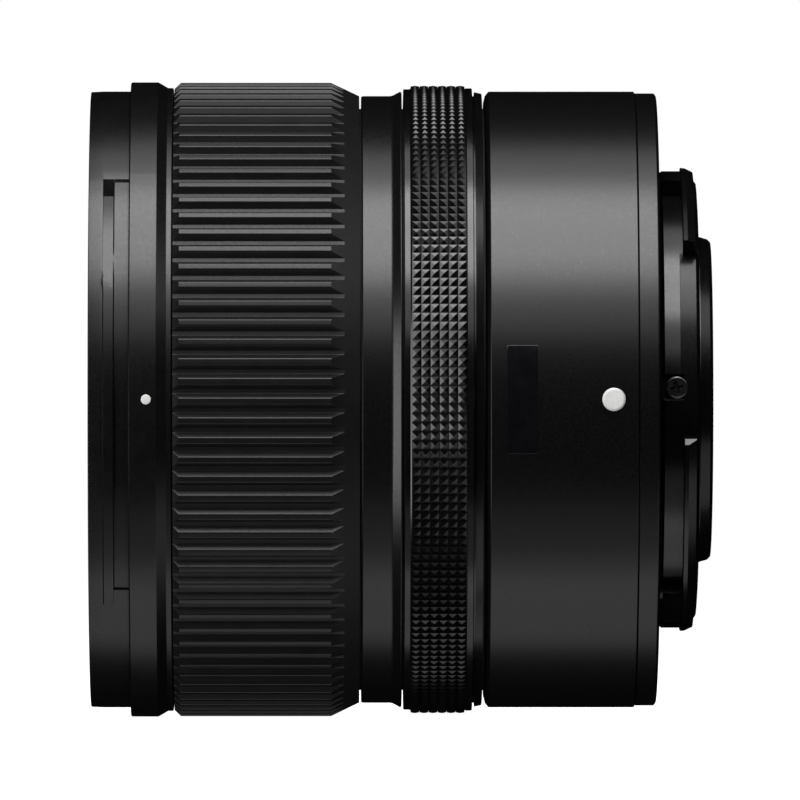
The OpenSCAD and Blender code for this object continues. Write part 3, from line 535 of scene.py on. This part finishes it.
class LENS_OT_control_ring(bpy.types.Operator):
    """Models one column of pyramids of the control ring with its borders and copies it round"""

    bl_idname = "lens.control_ring"
    bl_label = "Control ring"

    def execute(self, context):
        sizes = context.scene.lens_sizes
        z0, z1 = ends("control_ring")
        peak = reach("control_ring")
        tall, gap, lean = 0.34, 0.035, 0.74
        low = peak - tall
        half = 180 / sizes.studs
        pitch = sizes.stud_pitch / MM
        k0 = z0 + 1.91
        k1 = k0 + sizes.stud_rows * pitch
        skirt, channel, border, lip = peak - 0.74, peak - 1.2, peak - 0.3, low - 0.07
        z_skirt, z_border = z0 + 0.84, z0 + 1.1
        bevel = 0.06
        outline = [(GRIP_BORE, z0), (skirt - 0.21, z0), (skirt - 0.16, z0 + 0.05), (skirt, z_skirt),
                   (channel, z_skirt + 0.04), (channel, z_border - 0.05),
                   (border - bevel, z_border), (border, z_border + bevel),
                   (border, k0 - 0.1), (border - bevel, k0 - 0.04)]
        outline += [(low, k0 + i * pitch) for i in range(sizes.stud_rows + 1)]
        outline += [(lip, k1 + 0.15), (lip, z1 - bevel), (lip - bevel, z1), (GRIP_BORE, z1)]
        piece = begin("control_ring_grip")
        turn(piece, outline, -half, half, 1)
        bpy.ops.mesh.normals_make_consistent(inside=False)

        def on_base(place):
            return abs(radius_of(place) - low) < 0.1

        def is_stud(face):
            place = face.calc_center_median()
            return k0 < -place.y / MM < k1 and on_base(place)

        pick(piece, "FACE", is_stud)
        bpy.ops.mesh.inset(thickness=gap * MM, use_individual=True)
        bpy.ops.mesh.poke(offset=tall * MM)
        half_base = math.pi * low / sizes.studs - gap
        pick(piece, "VERT", lambda v: abs(v.co.z / MM - half_base) < SAME_PLACE and on_base(v.co))
        bpy.ops.transform.translate(value=at(lean * tall, 0))
        repeat(sizes.studs)
        settle(piece, "control_ring", knurl_plastic(context.scene.lens_colours),
               "control_ring", smooth=20)
        return {"FINISHED"}


class LENS_OT_front_ring(bpy.types.Operator):
    """Spins the front ring in arcs, with its two hood grooves, filter thread and bevelled edges"""

    bl_idname = "lens.front_ring"
    bl_label = "Front ring"

    def execute(self, context):
        z0, z1 = ends("front_ring")
        band = reach("front_ring")
        heel, collar = band - 0.64, band - 1.04
        # The hood groove: its floor, the lip in front of it and the deepest point of the ramp in that lip
        floor, proud, deep = collar - 0.25, collar + 0.1, collar - 1.21
        z_band, z_mid, z_lip, z_rim = z1 - 4.66, z1 - 3.06, z1 - 1.75, z1 - 0.12
        z_wall, z_top, z_edge = z_mid + 0.11, z_mid + 0.14, z_lip - 0.12
        # Angles at which the lip starts, the groove opens, the ramp starts, is deepest, steps up and ends
        first, opening, dip, deepest, step, last = -41, -37.6, 21.5, 42.4, 44.45, 44.95
        ramp_steps = 14
        # Inside the front: mouth, roots and crests of the filter thread, the well and the bezel's seat
        mouth, root, crest, well, seat = 33.8, 33.46, 33.12, 32.9, 30.2
        z_seat, z_back = z_rim - 5.24, z_rim - 6.64
        thread, thread_turns = [], 5
        for i in range(thread_turns):
            z = z_rim - 0.45 - i * context.scene.lens_sizes.thread_pitch / MM
            thread += [(root, z), (crest, z - 0.32), (crest, z - 0.43)]
        back = [(SHELL_BORE, z0 - 0.1), (heel - 0.1, z0 - 0.1, 0.06), (heel, z0), (heel, z0 + 0.54, 0.05),
                (band, z0 + 1.63, 0.06), (band, z_band - 0.13), (band - 0.1, z_band)]
        lip = [(collar, z_rim - 1.4), (collar - 0.06, z_rim - 0.1), (collar - 0.1, z_rim - 0.02),
               (collar - 0.16, z_rim), (mouth, z_rim, 0.06)]
        lip += thread + [(well, z_rim - 4.2), (well, z_seat), (seat, z_seat), (seat, z_back),
                         (SHELL_BORE, z_back)]
        plain = [(collar, z_band), (collar, z_wall), (collar, z_edge), (collar, z_lip)]
        raised = [(collar, z_band), (collar, z_wall), (proud, z_top), (proud, z_edge), (collar, z_lip)]
        hollow = [(collar, z_band), (floor, z_band), (floor, z_mid), *raised[1:]]
        ramp = [(dip + i * (deepest - dip) / ramp_steps, proud + i * (deep - proud) / ramp_steps)
                for i in range(1, ramp_steps + 1)]
        piece = begin("front_ring_shell")
        for t in (0, 180):
            for section, start, stop, steps in ((raised, first, opening, 2), (hollow, opening, dip, 40),
                                                (hollow, dip, deepest, ramp_steps),
                                                (hollow, deepest, step, 1), (hollow, step, last, 1),
                                                (plain, last, 180 + first, 62)):
                turn(piece, back + section + lip, t + start, t + stop, steps)
            for a, depth in ramp + [(step, floor), (last, collar)]:
                set_radius(piece, t + a, (z_wall, z_wall), collar, min(collar, (depth + floor) / 2))
                set_radius(piece, t + a, (z_top, z_edge), proud, depth)
                if depth < collar:
                    pick_at(piece, t + a, depth, z_edge, z_edge)
                    bpy.ops.transform.translate(value=at(0, 0.1))
            set_radius(piece, t + last, (z_band, z_mid), floor, collar)
        close_up()
        settle(piece, "barrel", front_plastic(context.scene.lens_colours), "front_ring")
        return {"FINISHED"}


class LENS_OT_barrel_rings(bpy.types.Operator):
    """Turns the rear ring, the rear barrel and the ring between the grips with rounded edges"""

    bl_idname = "lens.barrel_rings"
    bl_label = "Barrel rings"

    def execute(self, context):
        paint = barrel_paint(context.scene.lens_colours)
        for node, outside in (("rear_ring", self.rear_ring), ("rear_barrel", self.rear_barrel),
                              ("mid_ring", self.mid_ring)):
            z0, z1 = ends(node)
            piece = begin(f"{node}_shell")
            turn(piece, [(SHELL_BORE, z0), *outside(reach(node), z0, z1), (SHELL_BORE, z1)])
            close_up()
            settle(piece, "barrel", paint, node)
        return {"FINISHED"}

    def rear_ring(self, r, z0, z1):
        """Outside of the rear ring, bevelled at the flange."""
        return [(r - 0.3, z0, 0.05), (r, z0 + 0.22, 0.12), (r, z1 - 0.06, 0.04), (r - 0.14, z1)]

    def rear_barrel(self, r, z0, z1):
        """Outside of the rear barrel, falling off towards the control ring."""
        return [(r - 0.14, z0), (r, z0 + 0.1, 0.05), (r, z1 - 0.58, 0.05), (r - 0.5, z1 - 0.18),
                (r - 1.2, z1)]

    def mid_ring(self, r, z0, z1):
        """Outside of the ring between the grips, flared at its rear."""
        waist = r - 0.51
        return [(r - 0.1, z0), (r, z0 + 0.15, 0.06), (waist, z0 + 1.12, 0.2), (waist, z1 - 0.17),
                (waist - 0.14, z1)]


class LENS_OT_bayonet(bpy.types.Operator):
    """Spins the bayonet in arcs with lugs and stops, cuts its seats and models the stop screw"""

    bl_idname = "lens.bayonet"
    bl_label = "Bayonet"

    # Angle and distance ahead of the stop screw, and radius of the pocket's floor under it
    screw_angle, screw_ahead, pocket_floor = 3.2, -1.95, 23.55

    def execute(self, context):
        z0, z1 = ends("bayonet_mount")
        rim, foot = reach("bayonet_mount"), z0 - 0.2
        # Radii from the bore outwards, and distances ahead of the inner shelf, the lugs and the recess
        bore, tail_bore, nose, tube = 20.0, 21.9, 23.3, 24.1
        ledge, edge, stop, tip, face = 25.8, 25.83, 25.92, 26.3, 26.9
        shelf, lug_front, z_edge, recess = -2.4, -2.75, -4.17, 0.4
        z_block, z_ledge = -0.64, -0.58
        plate = [(bore, shelf), (bore, z1), (rim, z1), (rim, 0), (face, 0), (face, recess), (ledge, recess)]
        wall = [(22.7, recess), (tube, z_block), (tube - 0.04, -2.38)]
        step = [(tube, lug_front), (stop, lug_front)]
        block = [(ledge, z_ledge), (stop, z_block), (stop, lug_front)]
        claw = [(tip - 0.1, lug_front), (tip, lug_front - 0.1), (tip - 0.05, -3.3), (edge, z_edge),
                (24.9, -4.25), (24.55, -4.52), (nose, foot)]
        taper = [(tube - 0.02, -2.42), (23.88, -4.2), (23.6, -4.5), (nose, foot)]
        tail = [(tail_bore, foot, 0.05), (tail_bore, shelf)]
        free = plate + wall + taper + tail
        lug = plate + wall + step + claw + tail
        held = plate + block + claw + tail
        block_end, lug_end, lug_tip = -59.4, -11.2, -9.9
        arcs = [(-77, held), (-60.4, held), (block_end, lug), (lug_end, lug), (lug_tip, free),
                (43, lug), (72.8, held), (91, free), (134, lug), (164, held), (182, free),
                (214, lug), (244, held), (280.5, free), (283, None)]
        piece = begin("bayonet_shell")
        for (start, profile), (end, _) in zip(arcs, arcs[1:]):
            turn(piece, profile, start, end, max(1, round((end - start) / 2)))
        chamfer = 0.5
        for radius, ahead in [p for p in claw if p[0] > tip - 0.5]:
            set_radius(piece, lug_tip, (ahead, ahead), radius, tip - 0.56)
        set_radius(piece, block_end, (lug_front, z_block), stop, stop - chamfer)
        set_radius(piece, block_end, (z_ledge, z_ledge), ledge, ledge - chamfer)
        pick_at(piece, lug_end, edge, z_edge, z_edge)
        bpy.ops.transform.translate(value=at(chamfer, 0, lug_end + 90))
        close_up()
        self.cut_seats(piece, (face + rim) / 2, z1)
        settle(piece, "barrel", bayonet_plastic(context.scene.lens_colours),
               "bayonet_mount", smooth=14)
        self.model_screw()
        return {"FINISHED"}

    def cut_seats(self, piece, ring, z1):
        """Cuts the seats of the mount screws, the slot of the lock pin and the stop screw's pocket."""
        for a in range(45, 360, 90):
            bpy.ops.mesh.select_all(action="DESELECT")
            bpy.ops.mesh.primitive_cone_add(vertices=40, radius1=1.7 * MM, radius2=0.8 * MM,
                                            depth=0.9 * MM, rotation=(math.pi / 2, 0, 0),
                                            location=at(ring, 0.43, a))
            cut_away()
        sides, past = 30, 1.0
        slot_angle, slot_aside, slot_half, slot_wide = 100, 0.7, 1.9, 1.2
        slot = [spot(ring + slot_wide * math.cos(u), -past, slot_angle, slot_aside + slot_half * math.sin(u))
                for u in clock(sides, first=6)]
        cut_prism(piece, slot, at(0, z1 + 2 * past))
        angle, floor = self.screw_angle, self.pocket_floor
        outside, pocket_rear, pocket_long = 26.5, -2.8, 3.15
        pocket = [(floor, 1.5), (outside, 1.5), (outside, -3.9), (floor + 0.33, -1.28), (floor, -1.28)]
        cut_prism(piece, [spot(r, pocket_rear, angle, across) for r, across in pocket], at(0, pocket_long))
        seat_radius, seat_long = 1.3, 3
        centre = at(floor, self.screw_ahead, angle)
        seat = [centre + Vector((0, math.cos(u), math.sin(u))) * seat_radius * MM for u in clock(sides)]
        cut_prism(piece, seat, at(seat_long, 0, angle))

    def model_screw(self):
        """Models the head of the stop screw with its rounded rim and cross recess."""
        piece = begin("stop_screw_head")
        radius, tall = 1.18, 0.7
        centre = at(self.pocket_floor + 0.2, self.screw_ahead, self.screw_angle)
        bpy.ops.mesh.primitive_cylinder_add(vertices=40, radius=radius * MM, depth=tall * MM,
                                            rotation=(0, math.pi / 2, 0), location=centre)
        pick(piece, "EDGE", lambda e: middle(e).x > centre.x + 0.3 * MM and is_sharp(e))
        bpy.ops.mesh.bevel(offset=0.15 * MM, segments=2)
        pick(piece, "FACE", lambda f: f.normal.x > 0.9)
        bpy.ops.mesh.inset(thickness=0.12 * MM)
        bpy.ops.mesh.inset(thickness=0.06 * MM, depth=-0.05 * MM)
        slot_long = 1.44 * MM
        slot = [(0.2, 0.26), (0.2, -0.26), (-0.4, -0.1), (-0.4, 0.1)]
        for turned in (14, 104):
            u = math.radians(turned)
            run = Vector((0, math.cos(u), math.sin(u)))
            side = Vector((0, -math.sin(u), math.cos(u)))
            start = centre + at(tall / 2, 0) - run * slot_long / 2
            outline = [start + at(up, 0) + side * across * MM for up, across in slot]
            cut_prism(piece, outline, run * slot_long)
        settle(piece, "barrel", screw_steel(), "stop_screw")


class LENS_OT_marks(bpy.types.Operator):
    """Models the two index dots and the bare gloss plate"""

    bl_idname = "lens.marks"
    bl_label = "Marks"

    def execute(self, context):
        ink = index_ink(context.scene.lens_colours)
        self.model_dot("mount_dot", "mount_index", ink, sides=48, radius=1.31, tall=1.0, proud=0.0,
                       bevel=0.3, segments=5)
        self.model_dot("hood_dot", "hood_index", ink, sides=36, radius=0.56, tall=0.5, proud=0.03,
                       bevel=0.06, segments=3)
        z0, z1 = ends("name_plate")
        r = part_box("name_plate")[1].x / MM
        thick, half = 0.5, 10
        piece = begin("bare_plate")
        turn(piece, [(r - thick, z0), (r, z0), (r, z1), (r - thick, z1)], -half, half, 20)
        close_up()
        pick(piece, "EDGE", lambda e: is_sharp(e) and radius_of(middle(e)) > r - 0.1)
        bpy.ops.mesh.bevel(offset=0.06 * MM, segments=3)
        settle(piece, "barrel", plate_gloss(), "name_plate")
        return {"FINISHED"}

    def model_dot(self, name, node, ink, sides, radius, tall, proud, bevel, segments):
        """Models a white dot with a rounded rim, level with its CAD node's top or a little proud of it."""
        low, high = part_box(node)
        piece = begin(name)
        bpy.ops.mesh.primitive_cylinder_add(
            vertices=sides, radius=radius * MM, depth=tall * MM, rotation=(0, math.pi / 2, 0),
            location=(high.x - (tall / 2 - proud) * MM, (low.y + high.y) / 2, 0))
        pick(piece, "EDGE", lambda e: middle(e).x > high.x - SAME_PLACE * MM)
        bpy.ops.mesh.bevel(offset=bevel * MM, segments=segments)
        settle(piece, "barrel", ink, node, smooth=50)


class LENS_OT_glass(bpy.types.Operator):
    """Turns the two outer lens elements smooth, with their coatings"""

    bl_idname = "lens.glass"
    bl_label = "Outer glass"

    def execute(self, context):
        coats = {"front": glass("front_coating", 330, (0.93, 0.97, 0.95)),
                 "rear": glass("rear_coating", 250, (0.95, 0.96, 0.98))}
        z0, z1 = ends("front_element")
        r = reach("front_element")
        bulge, hollow, clear, thick = 50.06, 23.97, 18.3, 2.2
        front = self.cap(bulge, r, 14, z1, -1)
        back = self.cap(hollow, clear, 14, z1 - thick, -1)
        piece = begin("front_glass")
        turn(piece, front + [(r, z0)] + back[::-1], steps=120)
        close_up()
        settle(piece, "front_group", coats["front"], "front_element", smooth=25)
        z0, z1 = ends("rear_outer_element")
        r, bulge = reach("rear_outer_element"), 41.98
        piece = begin("rear_glass")
        turn(piece, self.cap(bulge, r, 12, z0, 1) + [(r, z1), (0, z1)], steps=120)
        close_up()
        settle(piece, "barrel", coats["rear"], "rear_outer_element", smooth=25)
        return {"FINISHED"}

    def cap(self, curve, radius, steps, top, way):
        """Half section of a ground face: radius of its curve, its own radius, its top and its way."""
        spans = [radius * i / steps for i in range(steps + 1)]
        return [(x, top + way * (curve - math.sqrt(curve * curve - x * x))) for x in spans]


class LENS_OT_bezel(bpy.types.Operator):
    """Turns the bezel behind the filter thread with its light-trap grooves"""

    bl_idname = "lens.bezel"
    bl_label = "Bezel"

    def execute(self, context):
        z0, z1 = ends("front_bezel")
        bore, rim, flange = 23.2, reach("front_bezel"), 30.1
        ridges, widest, fall = 9, 29.0, 1.66 / 5.8
        z_flange = z0 + 2.3
        grooves = []
        for i in range(ridges):
            inwards = i * (widest - bore - 0.1) / ridges
            r, z = widest - inwards, z1 - inwards * fall
            grooves += [(r, z), (r - 0.06, z - 0.22)]
        piece = begin("bezel_shell")
        turn(piece, [(flange, z_flange), (rim, z_flange), (rim, z1, 0.05), *grooves,
                     (bore, z0 + 0.8), (bore, z0), (bore + 1, z0)])
        close_up()
        settle(piece, "barrel",
               plastic("bezel_black", (0.006, 0.006, 0.007), rough=0.5, grain=0.08, depth=0.003),
               "front_bezel")
        return {"FINISHED"}


class LENS_OT_finishes(bpy.types.Operator):
    """Gives every CAD node that still shows its finish"""

    bl_idname = "lens.finishes"
    bl_label = "Finishes"

    def execute(self, context):
        colours = context.scene.lens_colours
        made = {
            "bayonet_plastic": bayonet_plastic(colours),
            "steel_screw": screw_steel(),
            "contact_gold": metal("gilt contact", (0.9, 0.66, 0.28), 0.22),
            "barrel_paint": barrel_paint(colours),
            "plate_gloss": plate_gloss(),
            "mark_white": index_ink(colours),
            "inner_plastic": plastic("inner_black", (0.01, 0.01, 0.011), 0.6, 0.12, 0.004),
            "front_plastic": front_plastic(colours),
            "ring_plastic": plastic("grip_black", colours.grip, 0.45, 0.2, 0.0008),
            "scale_magnetic": plastic("scale_grey", (0.1, 0.1, 0.105), 0.5, 0.1, 0.003),
            "guide_metal": metal("anodised", (0.2, 0.205, 0.215), 0.38, (1, 0.08, 1)),
            "rod_steel": metal("ground_steel", (0.66, 0.66, 0.68), 0.2, (1, 6, 1)),
            "motor_steel": metal("motor_can", (0.48, 0.49, 0.51), 0.3, (1, 0.1, 1)),
            "gear_plastic": plastic("gear_ivory", (0.62, 0.58, 0.48), 0.4, 0.1, 0.002),
            "board": plastic("board_green", (0.01, 0.09, 0.045), 0.3, 0.3, 0.004),
            "sensor_black": plastic("sensor case", (0.012, 0.012, 0.014), 0.4, 0.08, 0.002),
            "blade_black": plastic("blade_film", (0.016, 0.016, 0.018), 0.5, 0.06, 0.001),
            "coated_glass": glass("inner_coating", 290, (0.95, 0.97, 0.97)),
        }
        slots = {s["node"]: s["material_slot"] for s in frame["record"]["subparts"]}
        for name, piece in frame["nodes"].items():
            piece.data.materials.clear()
            piece.data.materials.append(made[slots[name]])
        return {"FINISHED"}


class LENS_OT_stage(bpy.types.Operator):
    """Sets up the white floor, the strip lights and the camera of the studio"""

    bl_idname = "lens.stage"
    bl_label = "Studio"

    def execute(self, context):
        context.scene.view_settings.view_transform = "Standard"
        self.add_surroundings(context.scene)
        self.add_floor(context)
        self.add_lights(context)
        self.add_camera(context)
        return {"FINISHED"}

    def add_surroundings(self, scene):
        """White surroundings for the camera, all but dark for the lens."""
        world = bpy.data.worlds.new("studio")
        world.use_nodes = True
        tree = world.node_tree
        dim = tree.nodes["Background"]
        dim.inputs["Color"].default_value = (1, 1, 1, 1)
        dim.inputs["Strength"].default_value = 0.001
        bright = put(tree, "ShaderNodeBackground", {"Color": (1, 1, 1, 1), "Strength": 1.0})
        seen = put(tree, "ShaderNodeLightPath")
        mix = put(tree, "ShaderNodeMixShader")
        tree.links.new(seen.outputs["Is Camera Ray"], mix.inputs[0])
        tree.links.new(dim.outputs[0], mix.inputs[1])
        tree.links.new(bright.outputs[0], mix.inputs[2])
        tree.links.new(mix.outputs[0], tree.nodes["World Output"].inputs["Surface"])
        scene.world = world

    def add_floor(self, context):
        """Round white floor just under the lens, which neither lights nor darkens it."""
        bpy.ops.object.select_all(action="DESELECT")
        bpy.ops.mesh.primitive_circle_add(vertices=96, radius=2.4, fill_type="NGON",
                                          location=(0, -0.03, cad_box[0].z - 0.2 * MM))
        floor = context.object
        floor.name = "floor"
        white = bpy.data.materials.new("floor_white")
        white.use_nodes = True
        shader = white.node_tree.nodes["Principled BSDF"]
        shader.inputs["Base Color"].default_value = (0.95, 0.95, 0.95, 1)
        shader.inputs["Emission Color"].default_value = (1, 1, 1, 1)
        shader.inputs["Emission Strength"].default_value = 1.0
        floor.data.materials.append(white)
        floor.visible_diffuse = floor.visible_glossy = floor.visible_shadow = False
        floor.visible_transmission = False

    def add_lights(self, context):
        """Soft cards round the axis, each by its angle, tilt to the front, length, width and watts."""
        middle_ahead, far = 29.0, 700
        aim = at(0, middle_ahead)
        for name, angle, tilt, length, width, power in (
                ("near key", 43, 0, 500, 247, 0.55),
                ("key strip", 64, 0, 500, 349, 3.2),
                ("far key", 86, 0, 500, 247, 0.6),
                ("near low", -58, 0, 500, 300, 0.13),
                ("low strip", -84, 0, 500, 428, 0.52),
                ("rear card", 62, -34, 560, 260, 0.6),
                ("rear low", -62, -34, 500, 500, 0.4),
                ("front card", -10, 48, 800, 260, 2.8)):
            lean = math.radians(tilt)
            place = at(far * math.cos(lean), middle_ahead + far * math.sin(lean), angle)
            bpy.ops.object.light_add(type="AREA", location=place)
            lamp = context.object
            lamp.name = name
            lamp.data.shape = "RECTANGLE"
            lamp.data.size = width * MM
            lamp.data.size_y = length * MM
            lamp.data.energy = power
            lamp.rotation_mode = "QUATERNION"
            lamp.rotation_quaternion = (aim - place).to_track_quat("-Z", "Y")

    def add_camera(self, context):
        """Camera square to the side of the lens, a long way off, as in the photograph."""
        yaw = math.radians(0.28)
        stand_off, seen_width, sensor = 1940, 90.85, 36
        target = Vector((0, -28.99, -0.06)) * MM
        place = target + Vector((math.cos(yaw), -math.sin(yaw), 0)) * stand_off * MM
        bpy.ops.object.camera_add(location=place)
        camera = context.object
        camera.name = "photograph"
        camera.data.sensor_width = sensor
        camera.data.lens = sensor * stand_off / seen_width
        camera.data.clip_start, camera.data.clip_end = 0.1, 20
        camera.rotation_mode = "QUATERNION"
        camera.rotation_quaternion = (target - place).to_track_quat("-Z", "Y")
        context.scene.camera = camera


class LENS_PT_dressing(bpy.types.Panel):
    """Lists the sizes, the colours and the steps of the dressing"""

    bl_idname = "LENS_PT_dressing"
    bl_label = "Lens dressing"
    bl_space_type = "VIEW_3D"
    bl_region_type = "UI"
    bl_category = "Lens"

    def draw(self, context):
        for group in (context.scene.lens_sizes, context.scene.lens_colours):
            box = self.layout.box()
            for name in group.__annotations__:
                box.prop(group, name)
        for step in STEPS:
            self.layout.operator(step.bl_idname)


STEPS = (LENS_OT_finishes, LENS_OT_barrel_rings, LENS_OT_zoom_ring, LENS_OT_control_ring,
         LENS_OT_front_ring, LENS_OT_bayonet, LENS_OT_bezel, LENS_OT_glass, LENS_OT_marks, LENS_OT_stage)
CLASSES = (LensColours, LensSizes, *STEPS, LENS_PT_dressing)


def register():
    """Registers the classes and hangs the sizes and colours on the scene."""
    for kind in CLASSES:
        bpy.utils.register_class(kind)
    bpy.types.Scene.lens_colours = bpy.props.PointerProperty(type=LensColours)
    bpy.types.Scene.lens_sizes = bpy.props.PointerProperty(type=LensSizes)


def unregister():
    """Takes the sizes, the colours and the classes away again."""
    del bpy.types.Scene.lens_sizes
    del bpy.types.Scene.lens_colours
    for kind in reversed(CLASSES):
        bpy.utils.unregister_class(kind)


def main():
    """Registers the add-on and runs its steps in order."""
    register()
    for step in STEPS:
        group, name = step.bl_idname.split(".")
        getattr(getattr(bpy.ops, group), name)()


if __name__ == "__main__":
    main()
